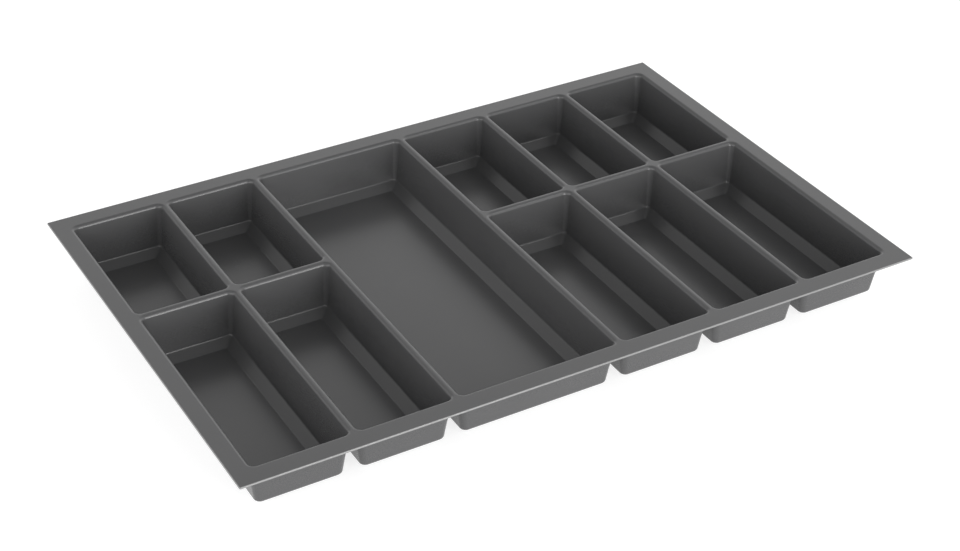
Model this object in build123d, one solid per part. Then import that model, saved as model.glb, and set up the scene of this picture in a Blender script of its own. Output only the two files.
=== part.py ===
"""Drawer insert for cutlery, thermoformed in one piece from a flat plastic sheet.

The sheet hangs as eleven drafted wells from one flat rim. Both skins of every well
come from the same profile, so walls, bevels and floors all keep the sheet's gauge.

Axes: +X to the right, +Y to the back of the drawer, +Z up.
Origin: centre of the footprint, on the plane that the well floors rest on.
"""

import os
from math import cos, radians, sin, tan

from build123d import *

# Overall size, in millimetres
tray_width = 735.0
tray_depth = 490.0
tray_height = 54.0
sheet = 1.8

# Rim and dividers, measured between the sharp corners of walls and top face
side_margin = 20.0
end_margin = 22.4
column_divider = 7.8
row_divider = 7.8
rim_corner_radius = 1.5

# Openings of the wells
narrow_width = 95.8
centre_width = 168.0
right_width = 98.8
front_length = 258.6

# Profile of a well, from the rim down to the floor
wall_draft = 8.0
bevel_width = 11.2
bevel_height = 6.3
opening_corner_radius = 6.0
foot_corner_radius = 4.0
floor_corner_radius = 2.5
edge_radius = 4.0

# Worked out from the sizes above
full_length = tray_depth - 2 * end_margin
back_length = full_length - row_divider - front_length
floor_depth = tray_height - sheet
bevel_top_depth = floor_depth - bevel_height
wall_inset = bevel_top_depth * tan(radians(wall_draft))
flatness = 0.05


def well_layout():
    """Centre x, centre y, width and length of each opening, column by column."""
    columns = [
        (narrow_width, True),
        (narrow_width, True),
        (centre_width, False),
        (right_width, True),
        (right_width, True),
        (right_width, True),
    ]
    front_edge = -tray_depth / 2 + end_margin
    back_edge = front_edge + front_length + row_divider
    left_edge = -tray_width / 2 + side_margin
    wells = []
    for width, parted in columns:
        x = left_edge + width / 2
        if parted:
            wells.append((x, front_edge + front_length / 2, width, front_length))
            wells.append((x, back_edge + back_length / 2, width, back_length))
        else:
            wells.append((x, 0.0, width, full_length))
        left_edge += width + column_divider
    return wells


def skin_profile(gauge):
    """(inset, depth, corner radius) of one skin at the rim, the wall's foot and the floor.

    A gauge of 0 is the upper skin. The sheet's thickness gives the lower one: each of
    its bends sits on the mitre between the two faces that meet there.
    """
    slope = Vector(bevel_width, bevel_height).normalized()
    wall_out = Vector(-cos(radians(wall_draft)), sin(radians(wall_draft)))
    bevel_out = Vector(-slope.Y, slope.X)
    floor_out = Vector(0, 1)

    def mitre(first, second):
        return (first + second) * (gauge / (1 + first.dot(second)))

    foot = Vector(wall_inset, bevel_top_depth) + mitre(wall_out, bevel_out)
    floor_edge = Vector(wall_inset + bevel_width, floor_depth) + mitre(bevel_out, floor_out)
    rim_inset = -gauge / cos(radians(wall_draft))
    return [
        (rim_inset, 0.0, opening_corner_radius + gauge),
        (foot.X, foot.Y, foot_corner_radius + gauge),
        (floor_edge.X, floor_edge.Y, floor_corner_radius + gauge),
    ]


def well_solid(width, length, gauge):
    """The space inside one skin of a well: drafted walls, a bevel and a flat floor."""
    sections = []
    for inset, depth, radius in skin_profile(gauge):
        outline = RectangleRounded(width - 2 * inset, length - 2 * inset, radius)
        sections.append(Pos(0, 0, tray_height - depth) * outline)
    return loft(sections, ruled=True)


def tray():
    """The rim plate with every well formed in it, and the edge of each opening rounded."""
    plate = Pos(0, 0, tray_height - sheet) * extrude(
        RectangleRounded(tray_width, tray_depth, rim_corner_radius), sheet
    )
    wells = well_layout()
    tubs = [Pos(x, y, 0) * well_solid(w, l, sheet) for x, y, w, l in wells]
    hollows = [Pos(x, y, 0) * well_solid(w, l, 0.0) for x, y, w, l in wells]
    return round_openings(plate + tubs - hollows)


def round_openings(body):
    """Fillets the edges that lie in the top face, apart from the rim's own outline."""
    half_width = tray_width / 2 - side_margin / 2
    half_depth = tray_depth / 2 - end_margin / 2
    openings = []
    for edge in body.edges():
        lowest = edge.bounding_box().min.Z
        centre = edge.center()
        inside = abs(centre.X) < half_width and abs(centre.Y) < half_depth
        if inside and lowest > tray_height - flatness:
            openings.append(edge)
    return fillet(openings, edge_radius)


os.makedirs("parts", exist_ok=True)
export_step(tray(), "parts/tray.step")
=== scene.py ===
"""Looks of a drawer insert for cutlery, formed in one piece from anthracite plastic sheet.

The frame gives the tray's place and its overall size. Units are metres: +X to the
right, +Y to the back of the drawer, +Z up, with the well floors resting on Z = 0.
"""

from math import acos, cos, hypot, pi, radians, sin, tan

import bmesh
import bpy
from mathutils import Matrix, Vector


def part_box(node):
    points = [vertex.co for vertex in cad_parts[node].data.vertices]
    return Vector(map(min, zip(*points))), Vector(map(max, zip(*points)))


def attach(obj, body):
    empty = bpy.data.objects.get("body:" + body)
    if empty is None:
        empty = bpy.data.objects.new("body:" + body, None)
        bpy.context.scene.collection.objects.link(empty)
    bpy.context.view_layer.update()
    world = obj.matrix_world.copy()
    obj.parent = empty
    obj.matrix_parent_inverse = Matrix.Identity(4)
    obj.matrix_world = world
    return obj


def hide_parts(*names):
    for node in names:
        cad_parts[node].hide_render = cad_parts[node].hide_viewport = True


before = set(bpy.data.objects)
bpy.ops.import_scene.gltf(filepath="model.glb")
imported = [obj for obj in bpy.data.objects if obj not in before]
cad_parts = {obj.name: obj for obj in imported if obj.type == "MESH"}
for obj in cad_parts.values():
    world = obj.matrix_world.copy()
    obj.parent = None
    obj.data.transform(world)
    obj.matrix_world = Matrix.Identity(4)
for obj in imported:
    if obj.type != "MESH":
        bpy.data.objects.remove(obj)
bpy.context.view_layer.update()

# ---- The formed sheet ----
# The whole tray is one skin: a flat rim from which eleven open wells hang. A sheet of
# anthracite plastic is softened, drawn down into a mould and trimmed round the rim, so
# both faces of every wall, bevel and floor run on from the rim through rounded bends.

mm = 0.001
low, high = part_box("tray")
rim_width = high.x - low.x
rim_depth = high.y - low.y
height = high.z - low.z

gauge = 1.8 * mm
side_margin = 20 * mm
end_margin = 22.4 * mm
column_divider = 7.8 * mm
row_divider = 7.8 * mm
front_length = 258.6 * mm
full_length = rim_depth - 2 * end_margin
back_length = full_length - row_divider - front_length

# Width of each column of wells, left to right, and whether a divider parts it in two
columns = [
    (95.8 * mm, True),
    (95.8 * mm, True),
    (168 * mm, False),
    (98.8 * mm, True),
    (98.8 * mm, True),
    (98.8 * mm, True),
]

wall_draft = radians(8)
bevel_width = 11.2 * mm
bevel_height = 6.3 * mm
opening_corner = 6 * mm
foot_corner = 4 * mm
floor_corner = 2.5 * mm
rim_corner = 1.5 * mm

rim_bend = 4 * mm
foot_bend = 2.5 * mm
floor_bend = 3 * mm
worn_arris = 1 * mm
cut_arris = 0.25 * mm

# Fineness of the mesh: flat strip at each end of a bend, steps round bends and corners
shoulder = 0.15 * mm
bend_steps = 8
corner_steps = 9
weld_distance = 0.01 * mm


def bend(before, corner, after, radius):
    """Rounds one corner of a section, with a short flat shoulder at each end.

    A point is (inset, corner radius in plan, height). The arc is true in the plane of
    inset and height, and the radius in plan changes evenly along it.
    """
    back = before - corner
    ahead = after - corner
    back /= hypot(back.x, back.z)
    ahead /= hypot(ahead.x, ahead.z)
    turn = acos(-back.x * ahead.x - back.z * ahead.z)
    reach = radius * tan(turn / 2)
    points = [corner + back * (reach + shoulder)]
    for step in range(bend_steps + 1):
        angle = turn * step / bend_steps
        share_back = (1 - cos(turn - angle)) / (1 - cos(turn))
        share_ahead = (1 - cos(angle)) / (1 - cos(turn))
        points.append(corner + (back * share_back + ahead * share_ahead) * reach)
    points.append(corner + ahead * (reach + shoulder))
    return points


def rounded_section(corners, radii):
    """A section through the skin, with every corner but the two ends rounded."""
    points = []
    for before, corner, after, radius in zip(corners, corners[1:], corners[2:], radii):
        points += bend(before, corner, after, radius)
    return points


def well_section(offset):
    """One skin of a well from the rim to the floor, set off from the upper skin.

    Each corner moves along the mitre of the two faces that meet there. The points on the
    rim and on the floor only give the first and last bend their directions.
    """
    foot_depth = height - gauge - bevel_height
    foot_inset = foot_depth * tan(wall_draft)
    floor_inset = foot_inset + bevel_width
    slope = Vector((bevel_width, 0, -bevel_height)).normalized()
    faces = [
        Vector((0, 0, -1)),
        Vector((-cos(wall_draft), 0, -sin(wall_draft))),
        Vector((slope.z, 0, -slope.x)),
        Vector((0, 0, -1)),
    ]
    corners = [
        Vector((0, opening_corner + offset, height)),
        Vector((foot_inset, foot_corner + offset, height - foot_depth)),
        Vector((floor_inset, floor_corner + offset, gauge)),
    ]
    for corner, above, below in zip(corners, faces, faces[1:]):
        corner += (above + below) * (offset / (1 + above.dot(below)))
    on_rim = corners[0] + Vector((-1, 1, 0)) * side_margin
    on_floor = corners[2] + Vector((1, -1, 0)) * bevel_width
    radii = [rim_bend - offset, foot_bend + offset, floor_bend + offset]
    return rounded_section([on_rim, *corners, on_floor], radii)


def trimmed_section():
    """The cut edge all round the rim, with both of its arrises slightly broken."""
    top = Vector((0, rim_corner, height))
    bottom = Vector((0, rim_corner, height - gauge))
    inward = Vector((1, -1, 0)) * gauge
    corners = [top + inward * 2, top, bottom, bottom + inward * 2]
    return rounded_section(corners, [worn_arris, cut_arris])


def point_mesh(name, points):
    """A mesh of loose points, for the node tree to read."""
    mesh = bpy.data.meshes.new(name)
    mesh.from_pydata([tuple(point) for point in points], [], [])
    holder = bpy.data.objects.new(name, mesh)
    bpy.context.collection.objects.link(holder)
    return holder


def opening_points(name, openings):
    """A point at the centre of each opening, carrying the opening's width and length."""
    holder = point_mesh(name, [centre for centre, _ in openings])
    sizes = holder.data.attributes.new("tray_opening", "FLOAT_VECTOR", "POINT")
    for item, (_, size) in zip(sizes.data, openings):
        item.vector = size
    return holder


# Centre and size of each well's opening, and of the rim's outline
well_openings = []
front = low.y + end_margin
back = front + front_length + row_divider
left = low.x + side_margin
for width, parted in columns:
    middle = left + width / 2
    if parted:
        well_openings.append(((middle, front + front_length / 2, 0), (width, front_length, 0)))
        well_openings.append(((middle, back + back_length / 2, 0), (width, back_length, 0)))
    else:
        well_openings.append(((middle, front + full_length / 2, 0), (width, full_length, 0)))
    left += width + column_divider
rim_opening = [((low + high) / 2 * Vector((1, 1, 0)), (rim_width, rim_depth, 0))]


class Wire:
    """One output of a node. Arithmetic written with wires adds its Math nodes."""

    def __init__(self, tree, socket):
        self.tree = tree
        self.socket = socket

    def of(self, name):
        """Another output of the same node."""
        return Wire(self.tree, self.socket.node.outputs[name])

    def __add__(self, other):
        return self.tree.maths("ADD", self, other)

    def __radd__(self, other):
        return self.tree.maths("ADD", other, self)

    def __sub__(self, other):
        return self.tree.maths("SUBTRACT", self, other)

    def __rsub__(self, other):
        return self.tree.maths("SUBTRACT", other, self)

    def __mul__(self, other):
        return self.tree.maths("MULTIPLY", self, other)

    def __rmul__(self, other):
        return self.tree.maths("MULTIPLY", other, self)

    def __truediv__(self, other):
        return self.tree.maths("DIVIDE", self, other)

    def __lt__(self, other):
        return self.tree.maths("LESS_THAN", self, other)


class Tree:
    """A node tree being written: add() places any node and returns one of its outputs."""

    def __init__(self, node_tree):
        self.node_tree = node_tree

    def add(self, kind, settings=None, sockets=None, output=0):
        node = self.node_tree.nodes.new(kind)
        for name, value in (settings or {}).items():
            setattr(node, name, value)
        self.fill(node, sockets or {})
        return Wire(self, node.outputs[output] if node.outputs else None)

    def maths(self, operation, *terms):
        """A Math node, or a Vector Math node where one of the terms is a vector."""
        vectors = [isinstance(term, Wire) and term.socket.type == "VECTOR" for term in terms]
        kind = "ShaderNodeVectorMath" if any(vectors) else "ShaderNodeMath"
        return self.add(kind, {"operation": operation}, dict(enumerate(terms)))

    def fill(self, node, sockets):
        """Links or sets a node's sockets. A list of wires all go to one socket."""
        for name, value in sockets.items():
            socket = node.inputs[name]
            if isinstance(value, Wire):
                self.node_tree.links.new(value.socket, socket)
            elif isinstance(value, list):
                for wire in value:
                    self.node_tree.links.new(wire.socket, socket)
            elif socket.type == "VECTOR" and isinstance(value, (int, float)):
                socket.default_value = (value, value, value)
            else:
                socket.default_value = value


def geometry_tree(name, inputs):
    """A Geometry Nodes tree with the given named inputs, and a Wire for each of them."""
    node_tree = bpy.data.node_groups.new(name, "GeometryNodeTree")
    for socket_name, kind in inputs.items():
        node_tree.interface.new_socket(socket_name, in_out="INPUT", socket_type=kind)
    node_tree.interface.new_socket("Geometry", in_out="OUTPUT", socket_type="NodeSocketGeometry")
    tree = Tree(node_tree)
    first = tree.add("NodeGroupInput")
    return tree, {socket_name: first.of(socket_name) for socket_name in inputs}


def swept_skin_group():
    """Sweeps a section round every opening, as walls with rounded corners in plan.

    Each skin starts as a grid, with one column for each step round the opening and one
    row for each point of the section. Its four corners turn through a quarter each. A copy
    is folded to a point at each opening, takes that opening's size, and unfolds to it.
    """
    tree, given = geometry_tree(
        "Skin round each opening",
        {
            "Openings": "NodeSocketGeometry",
            "Section": "NodeSocketGeometry",
            "Corner Steps": "NodeSocketInt",
        },
    )
    steps = given["Corner Steps"]
    last_column = 4 * (steps + 1)
    rows = tree.add(
        "GeometryNodeAttributeDomainSize",
        {"component": "MESH"},
        {"Geometry": given["Section"]},
        "Point Count",
    )
    unit_grid = tree.add(
        "GeometryNodeMeshGrid",
        sockets={"Size X": 1.0, "Size Y": 1.0, "Vertices X": last_column + 1, "Vertices Y": rows},
    )
    place = tree.add("GeometryNodeInputPosition")
    across = tree.add("ShaderNodeSeparateXYZ", sockets={"Vector": place})
    column = tree.maths("ROUND", (across + 0.5) * last_column)
    row = tree.maths("ROUND", (across.of("Y") + 0.5) * (rows - 1))
    quarter = tree.maths("FLOOR", column / (steps + 1))
    turn = (quarter + (column - quarter * (steps + 1)) / steps) * (pi / 2)
    diagonal = (quarter + 0.5) * (pi / 2)
    arm = tree.add(
        "ShaderNodeCombineXYZ",
        sockets={"X": tree.maths("COSINE", turn), "Y": tree.maths("SINE", turn)},
    )
    side = tree.add(
        "ShaderNodeCombineXYZ",
        sockets={
            "X": tree.maths("SIGN", tree.maths("COSINE", diagonal)),
            "Y": tree.maths("SIGN", tree.maths("SINE", diagonal)),
        },
    )
    profile = tree.add(
        "GeometryNodeSampleIndex",
        {"data_type": "FLOAT_VECTOR", "domain": "POINT"},
        {"Geometry": given["Section"], "Value": place, "Index": row},
    )
    skin = unit_grid
    for name, value in {"tray_arm": arm, "tray_side": side, "tray_profile": profile}.items():
        skin = tree.add(
            "GeometryNodeStoreNamedAttribute",
            {"data_type": "FLOAT_VECTOR", "domain": "POINT"},
            {"Geometry": skin, "Name": name, "Value": value},
        )
    folded = tree.add(
        "GeometryNodeInstanceOnPoints",
        sockets={"Points": given["Openings"], "Instance": skin, "Scale": (0, 0, 0)},
    )
    folded = tree.add("GeometryNodeRealizeInstances", sockets={"Geometry": folded})

    def stored(name):
        return tree.add(
            "GeometryNodeInputNamedAttribute", {"data_type": "FLOAT_VECTOR"}, {"Name": name}
        )

    inset = tree.add("ShaderNodeSeparateXYZ", sockets={"Vector": stored("tray_profile")})
    corner = inset.of("Y")
    rise = tree.add("ShaderNodeCombineXYZ", sockets={"Z": inset.of("Z")})
    to_centre = stored("tray_opening") * 0.5 - (inset + corner)
    unfolded = tree.add(
        "GeometryNodeSetPosition",
        sockets={
            "Geometry": folded,
            "Offset": stored("tray_side") * to_centre + stored("tray_arm") * corner + rise,
        },
    )
    closed = tree.add(
        "GeometryNodeMergeByDistance", sockets={"Geometry": unfolded, "Distance": weld_distance}
    )
    tree.add("NodeGroupOutput", sockets={"Geometry": closed})
    return tree.node_tree


def formed_sheet_tree():
    """Joins both skins of every well and the trimmed edge by flat rims and floors."""
    tree, given = geometry_tree(
        "Formed sheet",
        {
            "Openings": "NodeSocketGeometry",
            "Rim Outline": "NodeSocketObject",
            "Upper Section": "NodeSocketObject",
            "Lower Section": "NodeSocketObject",
            "Trimmed Section": "NodeSocketObject",
            "Height": "NodeSocketFloat",
            "Gauge": "NodeSocketFloat",
            "Corner Steps": "NodeSocketInt",
            "Plastic": "NodeSocketMaterial",
        },
    )
    sweep = {"node_tree": swept_skin_group()}

    def points_of(name):
        return tree.add(
            "GeometryNodeObjectInfo", sockets={"Object": given[name]}, output="Geometry"
        )

    def swept(openings, section):
        sockets = {
            "Openings": openings,
            "Section": points_of(section),
            "Corner Steps": given["Corner Steps"],
        }
        return tree.add("GeometryNodeGroup", sweep, sockets)

    skins = tree.add(
        "GeometryNodeJoinGeometry",
        sockets={
            "Geometry": [
                swept(given["Openings"], "Upper Section"),
                swept(given["Openings"], "Lower Section"),
                swept(points_of("Rim Outline"), "Trimmed Section"),
            ]
        },
    )
    # A skin's edge with fewer than two faces is open, and a flat closes each ring of them
    faces_at_edge = tree.add("GeometryNodeInputMeshEdgeNeighbors")
    open_edge = faces_at_edge < 1.5
    place = tree.add("GeometryNodeInputPosition")
    at_height = tree.add("ShaderNodeSeparateXYZ", sockets={"Vector": place}, output="Z")
    rim_top = given["Height"]
    floor_top = given["Gauge"]
    rim_underside = rim_top - floor_top
    floor_underside = floor_top * 0.0
    flats = []
    for level in (rim_top, rim_underside, floor_top, floor_underside):
        gap = tree.maths("ABSOLUTE", at_height - level)
        loops = tree.add(
            "GeometryNodeMeshToCurve",
            sockets={"Mesh": skins, "Selection": open_edge * (gap < weld_distance)},
        )
        flat = tree.add("GeometryNodeFillCurve", {"mode": "TRIANGLES"}, {"Curve": loops})
        rise = tree.add("ShaderNodeCombineXYZ", sockets={"Z": level})
        flats.append(
            tree.add("GeometryNodeSetPosition", sockets={"Geometry": flat, "Offset": rise})
        )
    sheet = tree.add("GeometryNodeJoinGeometry", sockets={"Geometry": [skins, *flats]})
    sheet = tree.add(
        "GeometryNodeMergeByDistance", sockets={"Geometry": sheet, "Distance": weld_distance}
    )
    sheet = tree.add(
        "GeometryNodeRemoveAttribute",
        {"pattern_mode": "WILDCARD"},
        {"Geometry": sheet, "Name": "tray_*"},
    )
    sheet = tree.add("GeometryNodeSetShadeSmooth", sockets={"Geometry": sheet})
    sheet = tree.add("GeometryNodeRealizeInstances", sockets={"Geometry": sheet})
    sheet = tree.add(
        "GeometryNodeSetMaterial", sockets={"Geometry": sheet, "Material": given["Plastic"]}
    )
    tree.add("NodeGroupOutput", sockets={"Geometry": sheet})
    return tree.node_tree


# Finish of the plastic: sizes of its patterns, depth of its relief, colours and gloss
clouding_size = 90 * mm
ripple_size = 55 * mm
ripple_depth = 0.08 * mm
grain_size = 0.5 * mm
grain_depth = 0.05 * mm
grain_strength = 0.35
cut_edge_start = 1.1 * mm
cut_edge_full = 0.4 * mm

dark_anthracite = (0.056, 0.056, 0.057, 1)
pale_anthracite = (0.065, 0.065, 0.066, 1)
cut_edge_colour = (0.2, 0.2, 0.2, 1)

satin_roughness = 0.25
grain_roughness = 0.05
clouding_roughness = 0.03
drawn_gloss = 0.03


def anthracite_plastic():
    """Satin dyed-through plastic with a fine grain, a little glossier where it is drawn deep.

    The rim is given a paler colour within about a millimetre of its outline, over the trimmed
    edge and its arrises.
    """
    material = bpy.data.materials.new("anthracite_plastic")
    material.use_nodes = True
    tree = Tree(material.node_tree)
    shader = material.node_tree.nodes["Principled BSDF"]
    place = tree.add("ShaderNodeTexCoord", output="Object")

    def noise(size, detail, roughness=0.5):
        return tree.add(
            "ShaderNodeTexNoise",
            {"noise_dimensions": "3D"},
            {"Vector": place, "Scale": 1 / size, "Detail": detail, "Roughness": roughness},
            "Fac",
        )

    def colour_mix(share, first, second):
        # Sockets 6 and 7 are the colours A and B: their names alone find the numbers A and B
        return tree.add(
            "ShaderNodeMix",
            {"data_type": "RGBA"},
            {"Factor": share, 6: first, 7: second},
            "Result",
        )

    level = tree.add("ShaderNodeSeparateXYZ", sockets={"Vector": place}, output="Z")
    drawn = 1 - level / height
    clouding = noise(clouding_size, 2.0)
    grain = noise(grain_size, 2.0, 0.6)
    ripple = noise(ripple_size, 1.0)

    centre = (low + high) / 2
    apart = tree.add("ShaderNodeSeparateXYZ", sockets={"Vector": place - tuple(centre)})
    past_side = tree.maths("ABSOLUTE", apart) - rim_width / 2
    past_end = tree.maths("ABSOLUTE", apart.of("Y")) - rim_depth / 2
    cut_edge = tree.add(
        "ShaderNodeMapRange",
        {"interpolation_type": "SMOOTHSTEP"},
        {
            "Value": tree.maths("MAXIMUM", past_side, past_end),
            "From Min": -cut_edge_start,
            "From Max": -cut_edge_full,
        },
    )
    colour = colour_mix(clouding, dark_anthracite, pale_anthracite)
    colour = colour_mix(cut_edge, colour, cut_edge_colour)
    relief = tree.add(
        "ShaderNodeBump",
        sockets={"Strength": grain_strength, "Distance": grain_depth, "Height": grain},
        output="Normal",
    )
    relief = tree.add(
        "ShaderNodeBump",
        sockets={"Strength": 1.0, "Distance": ripple_depth, "Height": ripple, "Normal": relief},
        output="Normal",
    )
    roughness = (
        satin_roughness
        + grain * grain_roughness
        + clouding * clouding_roughness
        - drawn * drawn_gloss
    )
    tree.fill(shader, {"Base Color": colour, "Roughness": roughness, "Normal": relief})
    shader.inputs["IOR"].default_value = 1.5
    return material


plastic = anthracite_plastic()
wells = opening_points("well_openings", well_openings)
helpers = {
    "Rim Outline": opening_points("rim_outline", rim_opening),
    "Upper Section": point_mesh("upper_section", well_section(0)),
    "Lower Section": point_mesh("lower_section", well_section(gauge)),
    "Trimmed Section": point_mesh("trimmed_section", trimmed_section()),
}
inputs = {
    **helpers,
    "Height": height,
    "Gauge": gauge,
    "Corner Steps": corner_steps,
    "Plastic": plastic,
}
forming = wells.modifiers.new("Forming", "NODES")
forming.node_group = formed_sheet_tree()
for socket in forming.node_group.interface.items_tree:
    if socket.in_out == "INPUT" and socket.name in inputs:
        forming[socket.identifier] = inputs[socket.name]

formed = wells.evaluated_get(bpy.context.evaluated_depsgraph_get())
sheet_mesh = bpy.data.meshes.new_from_object(formed)
wells.modifiers.clear()
for helper in [wells, *helpers.values()]:
    bpy.data.objects.remove(helper)

# The filled flats can face either way, so every face of the closed sheet is turned outwards
shell = bmesh.new()
shell.from_mesh(sheet_mesh)
bmesh.ops.recalc_face_normals(shell, faces=shell.faces)
shell.to_mesh(sheet_mesh)
shell.free()

tray_sheet = bpy.data.objects.new("tray_sheet", sheet_mesh)
bpy.context.collection.objects.link(tray_sheet)
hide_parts("tray")
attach(tray_sheet, "root")

# ---- The table it stands on ----
# A plain pale surface, wide enough to fill every view. It is lit from within like a
# light table, so that it comes out nearly white and keeps only a trace of shadow.

table_size = 30.0
table_sockets = {
    "Base Color": (0.35, 0.35, 0.35, 1),
    "Roughness": 0.9,
    "Emission Color": (1, 1, 1, 1),
    "Emission Strength": 0.78,
}

half = table_size / 2
table_corners = [(-half, -half, 0), (half, -half, 0), (half, half, 0), (-half, half, 0)]
table_mesh = bpy.data.meshes.new("pale_table")
table_mesh.from_pydata(table_corners, [], [(0, 1, 2, 3)])
table_material = bpy.data.materials.new("pale_table")
table_material.use_nodes = True
table_tree = Tree(table_material.node_tree)
table_tree.fill(table_material.node_tree.nodes["Principled BSDF"], table_sockets)
table_mesh.materials.append(table_material)
table = bpy.data.objects.new("pale_table", table_mesh)
bpy.context.collection.objects.link(table)

# ---- Studio light ----
# A white room that is brightest low down and dark overhead, and lighter on the right. The
# softboxes at the front and on both sides draw the thin lights along the bends.

horizon_glow = 1.5
right_glow = 2.15
overhead_glow = 0.25
light_aim = Vector((0.0, 0.0, 0.05))

studio = bpy.data.worlds.new("studio")
studio.use_nodes = True
sky = Tree(studio.node_tree)
direction = sky.add("ShaderNodeTexCoord", output="Generated")
toward_right = sky.add("ShaderNodeSeparateXYZ", sockets={"Vector": direction})
rise = sky.maths("MAXIMUM", toward_right.of("Z"), 0.0)
fall = 1 - rise
glow = (
    fall * fall * horizon_glow
    + rise * fall * (toward_right + 1) * right_glow
    + rise * rise * overhead_glow
)
sky.fill(studio.node_tree.nodes["Background"], {"Color": (1, 1, 1, 1), "Strength": glow})
bpy.context.scene.world = studio


def softbox(name, place, width, length, watts):
    """A rectangular area light that faces the tray."""
    light = bpy.data.lights.new(name, "AREA")
    light.shape = "RECTANGLE"
    light.size = width
    light.size_y = length
    light.energy = watts
    lamp = bpy.data.objects.new(name, light)
    lamp.location = place
    lamp.rotation_euler = (light_aim - Vector(place)).to_track_quat("-Z", "Y").to_euler()
    bpy.context.collection.objects.link(lamp)


softbox("front_low_softbox", place=(0.18, -1.6, 0.27), width=0.7, length=0.4, watts=12)
softbox("front_high_softbox", place=(0.26, -1.6, 1.0), width=0.5, length=0.8, watts=5)
softbox("front_left_softbox", place=(-0.8, -1.6, 0.4), width=0.4, length=0.4, watts=2)
softbox("right_softbox", place=(1.0, -0.85, 1.5), width=0.3, length=0.3, watts=2)
softbox("left_softbox", place=(-1.6, -0.2, 0.6), width=2.4, length=1.1, watts=15)

# ---- Camera ----
# It stands at the front left and looks down on the tray, as the photograph does. Its
# angles and lens were solved from the four corners of the flat rim.

view_azimuth = radians(-29.685)
view_elevation = radians(33.402)
view_roll = radians(0.143)
view_distance = 2.0359
view_target = Vector((0.0122, 0.0099, 0.001))
focal_length = 73.56
frame_width = 36

to_camera = Vector(
    (
        sin(view_azimuth) * cos(view_elevation),
        -cos(view_azimuth) * cos(view_elevation),
        sin(view_elevation),
    )
)
level_right = Vector((0, 0, 1)).cross(to_camera).normalized()
level_up = to_camera.cross(level_right)
right = level_right * cos(view_roll) + level_up * sin(view_roll)
up = level_up * cos(view_roll) - level_right * sin(view_roll)
lens = bpy.data.cameras.new("camera")
lens.sensor_fit = "HORIZONTAL"
lens.sensor_width = frame_width
lens.lens = focal_length
camera = bpy.data.objects.new("camera", lens)
stand = Matrix((right, up, to_camera)).transposed().to_4x4()
stand.translation = view_target + to_camera * view_distance
camera.matrix_world = stand
bpy.context.collection.objects.link(camera)
bpy.context.scene.camera = camera
bpy.context.scene.view_settings.view_transform = "Standard"
